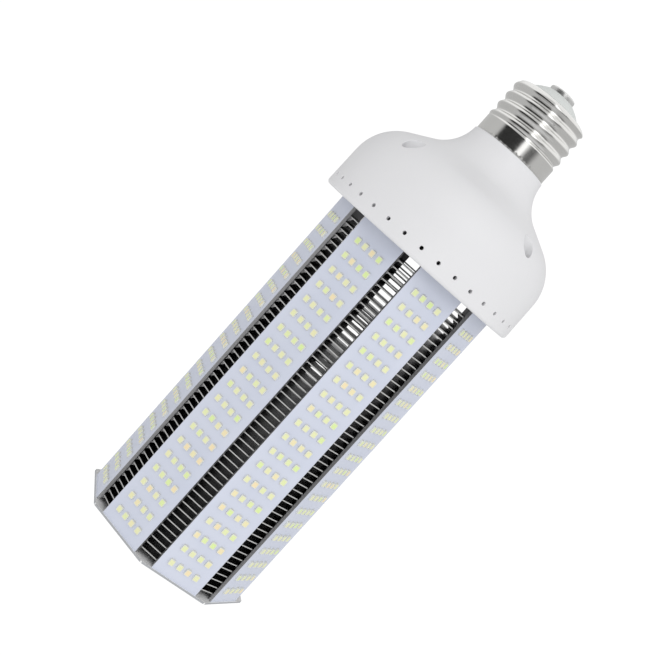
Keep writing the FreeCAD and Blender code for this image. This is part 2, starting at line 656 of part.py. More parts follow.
def rectifier():
    """The small moulded bridge rectifier."""
    return box(
        RECTIFIER_LENGTH, RECTIFIER_DEPTH, RECTIFIER_HEIGHT, RECTIFIER_X, RECTIFIER_Y, DRIVER_TOP
    )


def fuse():
    """The fuse resistor, standing on the board."""
    return rod(FUSE_RADIUS, DRIVER_TOP, DRIVER_TOP + FUSE_HEIGHT, FUSE_X, FUSE_Y)


# Leads

def live_lead():
    """From the circuit board up through the neck to the contact's stem."""
    return lead([
        Vector(LIVE_LEAD_X, LIVE_LEAD_Y, DRIVER_TOP),
        Vector(LIVE_LEAD_X, LIVE_LEAD_Y, DRIVER_TOP + LEAD_RISE),
        Vector(LIVE_LEAD_NECK_X, LIVE_LEAD_NECK_Y, NECK_TOP - LEAD_NECK_DROP),
        Vector(0, 0, STEM_BOTTOM - LIVE_LEAD_END),
        Vector(0, 0, STEM_BOTTOM),
    ])


def neutral_lead():
    """From the circuit board up through the neck to the inside of the shell."""
    wall = BAND_RADIUS - CAP_SHEET - LEAD_RADIUS - FIT_CLEARANCE
    level = NECK_TOP + SPIGOT_LENGTH + LEAD_RADIUS + FIT_CLEARANCE
    return lead([
        Vector(NEUTRAL_LEAD_X, NEUTRAL_LEAD_Y, DRIVER_TOP),
        Vector(NEUTRAL_LEAD_X, NEUTRAL_LEAD_Y, DRIVER_TOP + LEAD_RISE),
        Vector(NEUTRAL_LEAD_NECK_X, NEUTRAL_LEAD_NECK_Y, NECK_TOP - LEAD_NECK_DROP),
        Vector(NEUTRAL_LEAD_NECK_X, NEUTRAL_LEAD_NECK_Y, level),
        Vector(-wall, NEUTRAL_LEAD_NECK_Y, level),
    ])


def board_jumpers():
    """Short leads from each board's tongue to the next, over the tongues' tips."""
    level = BOARD_TOP + TONGUE_LENGTH + LEAD_BEND + FIT_CLEARANCE
    side = TONGUE_WIDTH / 2 - 2 * LEAD_RADIUS
    pad_radius = BOARD_FACE_RADIUS + LEAD_RADIUS
    jumpers = []
    for index in range(BOARD_COUNT - 1):
        here = FreeCAD.Rotation(AXIS, board_angle(index))
        there = FreeCAD.Rotation(AXIS, board_angle(index + 1))
        gap = FreeCAD.Rotation(AXIS, board_angle(index + 0.5))
        pad_level = MOUNT_PLATE_TOP + LEAD_RADIUS
        jumpers.append(lead([
            here.multVec(Vector(pad_radius, side, pad_level)),
            here.multVec(Vector(pad_radius, side, level)),
            gap.multVec(Vector(JUMPER_GAP_RADIUS, 0, level)),
            there.multVec(Vector(pad_radius, -side, level)),
            there.multVec(Vector(pad_radius, -side, pad_level)),
        ]))
    return jumpers


def supply_leads():
    """The pair from the circuit board to the first and the last board of the chain."""
    level = BOARD_TOP + TONGUE_LENGTH + LEAD_BEND + FIT_CLEARANCE
    side = TONGUE_WIDTH / 2 - 2 * LEAD_RADIUS
    pad_radius = BOARD_FACE_RADIUS + LEAD_RADIUS
    pair = []
    for index, sign in ((0, -1), (BOARD_COUNT - 1, 1)):
        here = FreeCAD.Rotation(AXIS, board_angle(index))
        pair.append(lead([
            here.multVec(Vector(pad_radius, sign * side, MOUNT_PLATE_TOP + LEAD_RADIUS)),
            here.multVec(Vector(pad_radius, sign * side, level)),
            here.multVec(Vector(DRIVER_BOARD_RADIUS - SUPPLY_LEAD_EDGE, sign * side, level)),
            here.multVec(
                Vector(DRIVER_BOARD_RADIUS - SUPPLY_LEAD_EDGE, sign * side, DRIVER_BOARD_LEVEL)
            ),
        ]))
    return pair


def export(name, solids):
    """Write one sub-part, which is a solid or a list of solids, to its own file."""
    solids = solids if isinstance(solids, list) else [solids]
    flat = [solid for shape in solids for solid in shape.Solids]
    shape = flat[0] if len(flat) == 1 else Part.makeCompound(flat)
    shape.exportStep(os.path.join("parts", name + ".step"))
    print(name, len(flat), "solids", round(sum(s.Volume for s in flat), 1), "mm3")


def build():
    """Write every sub-part."""
    os.makedirs("parts", exist_ok=True)
    export("end_plate", end_plate())
    export("fins", fins())
    export("fin_flanges", fin_flanges())
    export("mounting_plate", mounting_plate())
    export("stack_screws", stack_screws())
    export("stack_nuts", stack_nuts())
    for index in range(BOARD_COUNT):
        export(f"led_board_{index + 1}", led_board(index))
        export(f"leds_{index + 1}", leds(index))
    export("housing", housing())
    export("housing_screws", housing_screws())
    export("screw_shell", screw_shell())
    export("cap_insulator", cap_insulator())
    export("centre_contact", centre_contact())
    export("driver_standoffs", driver_standoffs())
    export("driver_board", driver_board())
    export("driver_screws", driver_screws())
    export("transformer_core", transformer_core())
    export("transformer_coil", transformer_coil())
    export("input_capacitor", input_capacitor())
    export("output_capacitors", output_capacitors())
    export("choke", choke())
    export("choke_winding", choke_winding())
    export("rectifier", rectifier())
    export("fuse", fuse())
    export("live_lead", live_lead())
    export("neutral_lead", neutral_lead())
    export("board_jumpers", board_jumpers())
    export("supply_leads", supply_leads())


build()
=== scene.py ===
# %% [markdown]
# # A corn lamp, dressed round its frame
#
# The solids of the lamp already exist, in their right places and sizes. This
# lesson gives them the surfaces that a photographer would see: a moulded bell,
# a rolled metal cap, 640 small LED packages and a stack of thin folded fins.
# Everything is in metres, with the lamp standing on z = 0 and its axis on +Z.

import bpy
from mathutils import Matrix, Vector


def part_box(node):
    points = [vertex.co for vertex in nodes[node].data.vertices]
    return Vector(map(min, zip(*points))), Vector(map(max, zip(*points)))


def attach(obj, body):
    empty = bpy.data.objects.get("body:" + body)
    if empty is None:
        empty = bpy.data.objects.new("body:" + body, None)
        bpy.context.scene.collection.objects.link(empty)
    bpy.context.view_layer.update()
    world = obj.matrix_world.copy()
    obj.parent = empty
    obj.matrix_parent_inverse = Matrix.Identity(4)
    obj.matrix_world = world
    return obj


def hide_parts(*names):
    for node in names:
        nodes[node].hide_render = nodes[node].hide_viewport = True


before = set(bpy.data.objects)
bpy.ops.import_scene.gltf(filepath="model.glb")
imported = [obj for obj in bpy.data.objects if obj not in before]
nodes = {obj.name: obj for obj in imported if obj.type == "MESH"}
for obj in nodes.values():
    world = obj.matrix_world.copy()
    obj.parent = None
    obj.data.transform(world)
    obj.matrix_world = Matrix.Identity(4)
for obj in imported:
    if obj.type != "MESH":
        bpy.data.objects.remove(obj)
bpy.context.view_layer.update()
print(len(nodes), "nodes in the frame")

# %% Tools that every later cell uses
import math

import bpy
import numpy as np
from mathutils import Matrix, Vector

MM = 0.001
scene = bpy.context.scene

# %% [markdown]
# ## Shader maths that reads like a formula
#
# A material is a graph of nodes. Placing them by hand takes many lines, so a
# small class wraps a socket and gives it Python's operators: `mask * 0.2 + 0.4`
# then adds the Multiply and Add nodes by itself. Every other node comes from
# one method, which takes the node's settings and then its inputs.

# %% A socket that understands + - * /
class Wire:
    """The value that leaves one node, with an operator for each Math node in use."""

    def __init__(self, sheet, socket):
        self.sheet = sheet
        self.socket = socket

    def __add__(self, other):
        return self.sheet.math("ADD", self, other)

    def __sub__(self, other):
        return self.sheet.math("SUBTRACT", self, other)

    def __rsub__(self, other):
        return self.sheet.math("SUBTRACT", other, self)

    def __mul__(self, other):
        return self.sheet.math("MULTIPLY", self, other)

    def __mod__(self, other):
        return self.sheet.math("FLOORED_MODULO", self, other)

    def __abs__(self):
        return self.sheet.math("ABSOLUTE", self)

    __radd__ = __add__
    __rmul__ = __mul__


# %% A sheet of nodes
class Sheet:
    """One node tree with a way to add nodes to it."""

    def __init__(self, tree, place="Object"):
        self.tree = tree
        self.place = self.node("TexCoord", out=place)

    def fill(self, socket, value):
        """Link a Wire to a socket, or set a number or a colour on it."""
        if isinstance(value, Wire):
            self.tree.links.new(value.socket, socket)
        elif socket.type == "RGBA":
            socket.default_value = (*value, 1.0)
        else:
            socket.default_value = value

    def node(self, kind, settings=None, values=(), out=0):
        """Add one node: its settings first, then the values or links of its inputs."""
        made = self.tree.nodes.new("ShaderNode" + kind)
        for name, setting in (settings or {}).items():
            setattr(made, name, setting)
        pairs = values.items() if isinstance(values, dict) else enumerate(values)
        for socket, value in pairs:
            self.fill(made.inputs[socket], value)
        return Wire(self, made.outputs[out])

    def math(self, operation, *values):
        """Add one Math node that works on these values."""
        return self.node("Math", {"operation": operation}, values)

    def split(self, vector):
        """The three numbers of a vector."""
        whole = self.node("SeparateXYZ", None, [vector])
        outputs = whole.socket.node.outputs
        return [Wire(self, output) for output in outputs]

    def radius(self, x, y):
        """The distance from the axis: the root of x squared plus y squared."""
        return self.math("SQRT", x * x + y * y)

    def noise(self, size, detail=2.0, stretch=(1, 1, 1)):
        """Soft random cells about `size` metres wide, wider along a stretched axis."""
        scale = tuple(1 / (size * s) for s in stretch)
        spread = self.node("VectorMath", {"operation": "MULTIPLY"}, [self.place, scale])
        return self.node("TexNoise", None, {"Vector": spread, "Scale": 1.0, "Detail": detail})

    def step(self, value, low, high):
        """A smooth rise from 0 at `low` to 1 at `high`."""
        settings = {"interpolation_type": "SMOOTHSTEP"}
        return self.node("MapRange", settings, [value, low, high, 0.0, 1.0])

    def blend(self, mask, first, second):
        """The first colour where the mask is 0, the second where it is 1."""
        return self.node("Mix", {"data_type": "RGBA"}, {0: mask, 6: first, 7: second}, out=2)

    def either(self, first, second):
        """The larger of two values."""
        return self.math("MAXIMUM", first, second)


# %% A material as a sheet
class Finish(Sheet):
    """One material: a Principled shader, its constants, and its nodes."""

    def __init__(self, name, constants):
        self.material = bpy.data.materials.new(name)
        self.material.use_nodes = True
        super().__init__(self.material.node_tree)
        self.shader = self.tree.nodes["Principled BSDF"]
        for socket, value in constants.items():
            self.fill(self.shader.inputs[socket], value)

    def paint(self, socket, value):
        """Send a value to one input of the shader."""
        self.fill(self.shader.inputs[socket], value)

    def bump(self, height, distance, strength=1.0):
        """Let a height, from 0 to 1, tilt the surface as if it were `distance` metres high."""
        values = {"Height": height, "Distance": distance, "Strength": strength}
        self.paint("Normal", self.node("Bump", None, values))


# %% [markdown]
# ## The finishes
#
# Real surfaces are never one flat value. Moulded plastic has a spark-eroded
# grain of a few tenths of a millimetre, rolled sheet has lines along the
# rolling direction, and plated metal has slow waves that bend its highlights.
# Each finish below is a colour, a roughness and a fine height, all made from
# noise on Object coordinates, so the grain has its real size.

# %% Moulded plastic and lacquer
def plastic(name, colour, roughness, grain=0.35 * MM, grain_height=0.012 * MM, mottle=0.03):
    """Colour with a slow mottle, roughness with a finer one, and a grain as bump."""
    sheet = Finish(name, {"IOR": 1.48})
    slow = sheet.noise(14 * MM, 3.0)
    fine = sheet.noise(grain, 2.0)
    darker = tuple(c * (1 - 2 * mottle) for c in colour)
    sheet.paint("Base Color", sheet.blend(slow * 0.7 + fine * 0.3, darker, colour))
    sheet.paint("Roughness", slow * 0.12 + fine * 0.06 + (roughness - 0.09))
    sheet.bump(fine, grain_height)
    return sheet.material


# %% Metal sheet, bar and plating
def metal(name, colour, roughness, lines=(1, 1, 1), line_size=0.15 * MM, height=0.004 * MM):
    """Metal whose fine lines run along the stretched axis, with slow stains."""
    sheet = Finish(name, {"Metallic": 1.0})
    stain = sheet.noise(9 * MM, 3.0)
    scratch = sheet.noise(line_size, 3.0, lines)
    dull = tuple(c * 0.86 for c in colour)
    sheet.paint("Base Color", sheet.blend(stain * 0.6 + scratch * 0.4, dull, colour))
    sheet.paint("Roughness", scratch * 0.16 + stain * 0.10 + (roughness - 0.13))
    sheet.bump(scratch, height)
    return sheet.material


# %% The list of finishes
housing_white = plastic("housing_white", (0.80, 0.80, 0.815), 0.46)
insulator_grey = plastic("insulator_grey", (0.72, 0.745, 0.73), 0.55)
ferrite_black = plastic("ferrite_black", (0.035, 0.035, 0.04), 0.6, 0.5 * MM)
coil_yellow = plastic("coil_yellow", (0.70, 0.46, 0.07), 0.35)
sleeve_blue = plastic("sleeve_blue", (0.015, 0.022, 0.06), 0.25)
fuse_green = plastic("fuse_green", (0.10, 0.21, 0.15), 0.4)
lead_red = plastic("lead_red", (0.45, 0.03, 0.02), 0.4)
lead_white = plastic("lead_white", (0.78, 0.78, 0.74), 0.4)
plate_satin = metal("plate_satin", (0.72, 0.73, 0.75), 0.34, (60, 1, 1))
tab_bright = metal("tab_bright", (0.60, 0.60, 0.61), 0.26, (1, 60, 1))
# The ears are painted near white, a painted highlight; the fin sheet they fold from is darker
# metal.
ear_painted_highlight = plastic("ear_painted_highlight", (0.92, 0.92, 0.92), 0.6)
zinc_steel = metal("zinc_steel", (0.58, 0.60, 0.63), 0.30)
spacer_brass = metal("spacer_brass", (0.70, 0.52, 0.22), 0.28, (1, 1, 0.2))
winding_copper = metal("winding_copper", (0.62, 0.25, 0.11), 0.3, (40, 40, 1), 0.4 * MM)
contact_metal = metal("contact_metal", (0.76, 0.76, 0.75), 0.40, (30, 1, 1))
nickel = metal("nickel", (0.80, 0.795, 0.775), 0.15, (6, 6, 1), 0.3 * MM, 0.003 * MM)
solder = plastic("solder", (0.62, 0.62, 0.60), 0.35, 0.1 * MM, 0.004 * MM)
print("finishes:", len(bpy.data.materials))

# %% [markdown]
# ## One eighth of the plan
#
# The boards are aluminium under a white lacquer that looks faintly blue beside
# the yellow LEDs, and their cut edges and backs are bare metal. All eight share
# one material. It folds the direction round the axis into one eighth of a turn:
# `across` is then the distance from each board's own middle line, `out` the
# distance in front of the axis, and `gap_out` the same for the gap between two
# boards. The fins and the end plate find their cut edges with the same three.

# %% Folding the plan
BOARD_COUNT = 8
ROW_PITCH = 5.475 * MM
LOWEST_ROW = 5.3 * MM
HALF_BOARD = 8.15 * MM
FACE_RADIUS = 28.1 * MM
SECTOR = 2 * math.pi / BOARD_COUNT
PLATE_EDGE = 28.48 * MM
FIN_EDGE = 27.81 * MM


def folded(sheet):
    """Across, out and gap_out from the radius and the angle within one sector."""
    x, y, _ = sheet.split(sheet.place)
    local = (sheet.math("ARCTAN2", y, x) + 2 * math.pi) % SECTOR - SECTOR / 2
    radius = sheet.radius(x, y)
    across = radius * sheet.math("SINE", local)
    out = radius * sheet.math("COSINE", local)
    gap_out = radius * sheet.math("COSINE", SECTOR / 2 - abs(local))
    return across, out, gap_out


# %% Lacquer in front, bare metal at the edges
def board_lacquer():
    """White lacquer on the front face and bare rolled metal everywhere else."""
    sheet = Finish("board_lacquer", {"IOR": 1.5})
    across, out, _ = folded(sheet)
    side = sheet.step(abs(across), HALF_BOARD - 0.10 * MM, HALF_BOARD - 0.04 * MM)
    front = sheet.step(out, FACE_RADIUS - 0.18 * MM, FACE_RADIUS - 0.10 * MM)
    bare = 1 - (1 - side) * front
    slow = sheet.noise(11 * MM, 2.0)
    fine = sheet.noise(0.5 * MM, 2.0)
    lacquer = sheet.blend(slow, (0.60, 0.64, 0.76), (0.68, 0.71, 0.81))
    cut = sheet.blend(fine, (0.50, 0.50, 0.51), (0.66, 0.66, 0.67))
    sheet.paint("Base Color", sheet.blend(bare, lacquer, cut))
    sheet.paint("Metallic", bare)
    sheet.paint("Roughness", fine * 0.10 + slow * 0.08 + bare * 0.05 + 0.30)
    sheet.bump(fine, 0.006 * MM)
    return sheet.material


board_white = board_lacquer()

# %% Plates with cut edges
def edged_plate(name, face, edge, limit, in_gap, roughness, shine):
    """Rolled sheet whose outermost hair, beyond the limit, is a rough cut edge.

    The limit is a distance in front of the axis, measured at the gaps or at the boards.
    """
    sheet = Finish(name, {})
    _, out, gap_out = folded(sheet)
    edge_mask = sheet.step(gap_out if in_gap else out, limit - 0.03 * MM, limit)
    stain = sheet.noise(9 * MM, 3.0)
    scratch = sheet.noise(0.15 * MM, 3.0, (40, 1, 1))
    ground = sheet.blend(stain * 0.6 + scratch * 0.4, tuple(c * 0.86 for c in face), face)
    sheet.paint("Base Color", sheet.blend(edge_mask, ground, edge))
    sheet.paint("Metallic", (1 - edge_mask * 0.6) * shine)
    sheet.paint("Roughness", scratch * 0.12 + stain * 0.08 + edge_mask * 0.3 + (roughness - 0.1))
    sheet.bump(scratch, 0.004 * MM)
    return sheet.material


end_satin = edged_plate(
    "end_satin", face=(0.95, 0.955, 0.96), edge=(0.42, 0.43, 0.45),
    limit=PLATE_EDGE, in_gap=False, roughness=0.50, shine=0.1,
)
# The fin faces are dark, 0.13, as painted shade for the deep cells between the fins. Their cut
# edges are lighter bare metal.
fin_dark_painted_shade = edged_plate(
    "fin_dark_painted_shade", face=(0.13, 0.13, 0.135), edge=(0.60, 0.60, 0.59),
    limit=FIN_EDGE, in_gap=True, roughness=0.28, shine=1.0,
)

# %% Glass fibre board inside the bell
def green_board():
    """Green lacquer over a fine weave."""
    sheet = Finish("green_board", {"IOR": 1.5})
    x, y, _ = sheet.split(sheet.place)
    waves = 2 * math.pi / (0.8 * MM)
    weave = sheet.math("SINE", x * waves) * sheet.math("SINE", y * waves) * 0.5 + 0.5
    patch = sheet.noise(6 * MM, 2.0)
    ground = sheet.blend(patch, (0.012, 0.11, 0.045), (0.02, 0.16, 0.07))
    sheet.paint("Base Color", ground)
    sheet.paint("Roughness", weave * 0.08 + patch * 0.1 + 0.26)
    sheet.bump(weave, 0.01 * MM)
    return sheet.material


fibre_green = green_board()

# %% [markdown]
# ## From arrays to meshes
#
# Each new piece is worked out as arrays of points. A ring of points is a loop,
# a stack of loops is a surface, and the faces between neighbouring loops are
# found by shifting whole index arrays. Nothing here walks over single points.

# %% Faces between loops
def ribbon(loops):
    """Quads between neighbouring closed loops, given as rows of point numbers.

    Each quad is (here, next along the loop, the same on the next loop, above here),
    so the face points outwards when loops run anticlockwise and go away from the eye.
    """
    here, after = loops[:-1], loops[1:]
    ahead, after_ahead = np.roll(here, -1, axis=1), np.roll(after, -1, axis=1)
    return np.stack([here, ahead, after_ahead, after], axis=-1).reshape(-1, 4)


# %% A gatherer of points and faces
class Shape:
    """Points and faces of one piece, gathered in parts before the mesh is made."""

    def __init__(self):
        self.points, self.faces, self.finishes, self.tones = [], [], [], []
        self.count = 0

    def place(self, points):
        """Keep some points and return their numbers, in the same layout."""
        points = np.asarray(points, float)
        flat = points.reshape(-1, 3)
        numbers = np.arange(self.count, self.count + len(flat)).reshape(points.shape[:-1])
        self.points.append(flat)
        self.count += len(flat)
        return numbers

    def face(self, faces, finish=0):
        """Keep faces, given as rows of point numbers, with the number of their finish."""
        faces = np.asarray(faces)
        self.faces.append(faces.reshape(-1, faces.shape[-1]))
        self.finishes.append(np.full(len(self.faces[-1]), finish))

    def tube(self, loops, finish=0):
        """Keep closed loops of points and the faces between them."""
        numbers = self.place(loops)
        self.face(ribbon(numbers), finish)
        return numbers

    def cap(self, loop, finish=0, flip=False):
        """Close a loop of point numbers with one flat face."""
        self.face(loop[None, ::-1] if flip else loop[None, :], finish)

    def mesh(self, name):
        """Put the gathered arrays into a mesh, with sharp edges above 35 degrees."""
        made = bpy.data.meshes.new(name)
        points = np.concatenate(self.points)
        sizes = np.concatenate([np.full(len(f), f.shape[1]) for f in self.faces])
        corners = np.concatenate([f.ravel() for f in self.faces])
        made.vertices.add(len(points))
        made.vertices.foreach_set("co", points.astype(np.float32).ravel())
        made.loops.add(len(corners))
        made.loops.foreach_set("vertex_index", corners.astype(np.int32))
        made.polygons.add(len(sizes))
        made.polygons.foreach_set("loop_start", (np.cumsum(sizes) - sizes).astype(np.int32))
        made.polygons.foreach_set("material_index", np.concatenate(self.finishes).astype(np.int32))
        made.update(calc_edges=True)
        made.validate()
        made.shade_smooth()
        made.set_sharp_from_angle(angle=math.radians(35))
        return made


# %% From mesh to piece
def finish_piece(name, shape, finishes, replaced):
    """Make the object, ride it on the frame and hide the nodes it stands for."""
    mesh = shape.mesh(name)
    for material in finishes:
        mesh.materials.append(material)
    piece = bpy.data.objects.new(name, mesh)
    scene.collection.objects.link(piece)
    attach(piece, "root")
    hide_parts(*replaced)
    size = np.ptp(np.concatenate(shape.points), axis=0)
    print(name, len(mesh.polygons), "faces,", np.round(size / MM, 2), "mm")
    return piece


# %% Round things: profiles and lathes
def rounded(corners, steps=8):
    """A profile through (radius, height, bend) corners, each bend an arc of that radius.

    The arc touches both sides at bend * tan(turn / 2) from the corner. Its centre lies
    on the line that halves the corner, and its points turn evenly about that centre.
    """
    corners = np.asarray(corners, float)
    out = []
    for index, (r, z, bend) in enumerate(corners):
        here = np.array([r, z])
        if bend == 0:
            out.append(here[None])
            continue
        first = here - corners[index - 1, :2]
        second = corners[index + 1, :2] - here
        first, second = first / np.linalg.norm(first), second / np.linalg.norm(second)
        turn = math.atan2(first[0] * second[1] - first[1] * second[0], first @ second)
        start = here - first * bend * math.tan(abs(turn) / 2)
        side = np.array([-first[1], first[0]]) * math.copysign(bend, turn)
        angles = np.linspace(0, turn, steps + 1)[:, None]
        spoke = -side
        swung = spoke * np.cos(angles) + np.array([-spoke[1], spoke[0]]) * np.sin(angles)
        out.append(start + side + swung)
    return np.concatenate(out)


def spun(profile, columns):
    """Loops of a (radius, height) profile turned about the axis, one point a column."""
    angles = np.arange(columns) * 2 * np.pi / columns
    radius, height = profile[:, 0, None], profile[:, 1, None]
    return polar_points(radius, angles, height)


def polar_points(radius, angle, height):
    """Points from radius, angle and height arrays: (r cos, r sin, z)."""
    x, y = radius * np.cos(angle), radius * np.sin(angle)
    return np.stack(np.broadcast_arrays(x, y, height), axis=-1)


def facing(degrees):
    """Two directions in plan: the one at this bearing, and the one a quarter turn on."""
    angle = math.radians(degrees)
    c, s = math.cos(angle), math.sin(angle)
    return np.array([c, s, 0]), np.array([-s, c, 0])


UP = np.array([0, 0, 1.0])


# %% [markdown]
# ## The bell
#
# The bell is one moulding with 36 round vents and four screw pockets. A plain
# lathe cannot have holes, and cutting them with a Boolean leaves long thin
# faces that shade badly on a smooth dome. So the bell is a grid of profile
# distance against angle, with a window of cells left out round each hole. A
# patch of loops then runs from the window's edge to the hole, down its wall,
# and out to the matching window of the inner skin.

# %% The bell's profile
bell_low, bell_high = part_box("housing")
RIM_BOTTOM = bell_low.z
RIM_RADIUS = bell_high.x
WALL = 1.6 * MM
NECK_TOP = RIM_BOTTOM + 41.7 * MM
NECK_RADIUS = 13.25 * MM
SHOULDER_HEIGHT = 22.5 * MM
SHOULDER_BEND, NECK_BEND = 16 * MM, 13.5 * MM
TAPER, SLOPE = math.tan(math.radians(1.3)), math.tan(math.radians(28.5))
shoulder = (RIM_RADIUS - TAPER * SHOULDER_HEIGHT, RIM_BOTTOM + SHOULDER_HEIGHT)
neck_corner = shoulder[1] + (shoulder[0] - NECK_RADIUS) * SLOPE
bell_curve = rounded([
    (RIM_RADIUS, RIM_BOTTOM, 0),
    (*shoulder, SHOULDER_BEND),
    (NECK_RADIUS, neck_corner, NECK_BEND),
    (NECK_RADIUS, neck_corner + 20 * MM, 0),
], steps=60)
steps_along = np.linalg.norm(np.diff(bell_curve, axis=0), axis=1)
bell_distance = np.concatenate([[0], np.cumsum(steps_along)])
bell_end = float(np.interp(NECK_TOP, bell_curve[:, 1], bell_distance))
tangent = np.gradient(bell_curve, bell_distance, axis=0)
tangent /= np.linalg.norm(tangent, axis=1)[:, None]
outward = np.stack([tangent[:, 1], -tangent[:, 0]], axis=1)
print("profile length", round(bell_end / MM, 2), "mm")


def bell_point(distance, angle, depth=0.0):
    """A point of the bell: the profile at a distance from the rim, sunk by a depth, turned."""
    radius = np.interp(distance, bell_distance, bell_curve[:, 0])
    radius = radius - depth * np.interp(distance, bell_distance, outward[:, 0])
    height = np.interp(distance, bell_distance, bell_curve[:, 1])
    height = height - depth * np.interp(distance, bell_distance, outward[:, 1])
    return polar_points(radius, angle, height)


# %% The grid and its windows
COLUMNS = 360
VENT_DISTANCE = 3.9 * MM
RIM_FOOT = 1.25 * MM
column_angles = np.radians(np.arange(COLUMNS) - 90)
fine_rows = VENT_DISTANCE + np.array([-1.3, -0.65, 0, 0.65, 1.3]) * MM
bend_rows = np.linspace(7 * MM, bell_end, 46)
row_distances = np.concatenate([[RIM_FOOT], fine_rows, bend_rows])
ROWS = len(row_distances)


def window_edge(low, high, left, right):
    """Row and column numbers round a window, anticlockwise seen from outside."""
    rows = np.concatenate([
        np.full(right - left, low), np.arange(low, high),
        np.full(right - left, high), np.arange(high, low, -1),
    ])
    columns = np.concatenate([
        np.arange(left, right), np.full(high - low, right),
        np.arange(right, left, -1), np.full(high - low, left),
    ])
    return rows, columns


def window_points(rows, columns):
    """Distance and angle of the grid's points at these rows and columns."""
    return np.stack([row_distances[rows], np.radians(columns - 90.0)], axis=-1)


def between(edge, hole, shares):
    """Loops that slide from the window's edge to the hole, by the given shares."""
    shares = np.asarray(shares)[:, None, None]
    return edge * (1 - shares) + hole * shares


# %% Building the bell
bell = Shape()
outer = bell.place(bell_point(row_distances[:, None], column_angles))
inner = bell.place(bell_point(row_distances[:, None], column_angles, WALL))
rim_arc = rounded([
    (RIM_RADIUS - WALL, RIM_BOTTOM, 0),
    (RIM_RADIUS - 0.01 * MM, RIM_BOTTOM, 1.2 * MM),
    (RIM_RADIUS - TAPER * RIM_FOOT, RIM_BOTTOM + RIM_FOOT, 0),
], steps=8)[:-1]
rim = bell.place(polar_points(rim_arc[:, 0, None], column_angles, rim_arc[:, 1, None]))
collar_profile = np.array([
    (12.6, 0), (12.56, 0.05), (12.56, 4.1), (12.45, 4.2), (10.95, 4.2), (10.95, -3.2),
]) * MM + np.array([0, NECK_TOP])
collar = bell.place(
    polar_points(collar_profile[:, 0, None], column_angles, collar_profile[:, 1, None])
)
whole = np.concatenate([rim, outer, collar, inner[::-1], rim[:1]])
cells = ribbon(whole).reshape(len(whole) - 1, COLUMNS, 4)
keep = np.ones(cells.shape[:2], bool)
OUTER_START = len(rim)
INNER_END = len(rim) + ROWS + len(collar) + ROWS - 1


def open_window(low, high, left, right):
    """Leave out the cells of one window in both skins."""
    columns = np.arange(left, right) % COLUMNS
    keep[OUTER_START + low:OUTER_START + high, columns[:, None]] = False
    keep[INNER_END - high:INNER_END - low, columns[:, None]] = False


def fill_window(rows, columns, patch):
    """Faces from the outer skin's window through the loops of a patch to the inner skin's."""
    around = (rows, columns % COLUMNS)
    bell.face(ribbon(np.concatenate([outer[around][None], patch, inner[around][None]])))


# %% Thirty-six vents
VENT_COUNT = 36
VENT_RADIUS = 0.6 * MM
VENT_FLARE = 1.16
VENT_LIP = 0.12 * MM
for number in range(VENT_COUNT):
    middle = number * COLUMNS // VENT_COUNT
    window = (1, 5, middle - 2, middle + 2)
    open_window(*window)
    rows, columns = window_edge(*window)
    edge = window_points(rows, columns)
    centre = np.array([VENT_DISTANCE, math.radians(middle - 90)])
    offset = (edge - centre) * [1, RIM_RADIUS]
    direction = offset / np.linalg.norm(offset, axis=1)[:, None]
    hole = centre + direction * VENT_RADIUS / [1, RIM_RADIUS]
    wide = centre + direction * VENT_RADIUS * VENT_FLARE / [1, RIM_RADIUS]
    patch = between(edge, wide, [0.5, 1.0])
    skin = np.concatenate([patch, hole[None]])
    front = bell_point(skin[..., 0], skin[..., 1], np.array([0, 0, VENT_LIP])[:, None])
    back = bell_point(skin[::-1, :, 0], skin[::-1, :, 1], WALL)
    fill_window(rows, columns, bell.place(np.concatenate([front, back])))
print("vents:", VENT_COUNT)

# %% Four screw pockets with their bosses
POCKET_CIRCLE = 30.3 * MM
POCKET_RADIUS = 2.5 * MM
POCKET_LIP = 0.2 * MM
plate_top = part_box("mounting_plate")[1].z
SEAT = plate_top + 5.0 * MM
BOSS_BOTTOM = plate_top
BORE_RADIUS = 1.5 * MM
BOSS_RADIUS = 3.4 * MM
POCKET_START = 13.4 * MM
POCKET_END_RADIUS = 25.9 * MM
falling = np.arange(len(bell_curve))[bell_distance > 13 * MM]


def distance_at(radius, depth):
    """The profile distance at which the bell, sunk by a depth, has this radius."""
    radii = (bell_curve[:, 0] - depth * outward[:, 0])[falling]
    return np.interp(-radius, -radii, bell_distance[falling])


def plan_circle(centre, direction, radius, depth):
    """Distance and angle of a circle drawn in plan on the sunk bell."""
    plan = centre + direction * radius
    reach = np.hypot(plan[:, 0], plan[:, 1])
    return np.stack([distance_at(reach, depth), np.arctan2(plan[:, 1], plan[:, 0])], axis=-1)


def near(angles, middle):
    """The same angles, within half a turn of the middle."""
    return middle + (angles - middle + np.pi) % (2 * np.pi) - np.pi


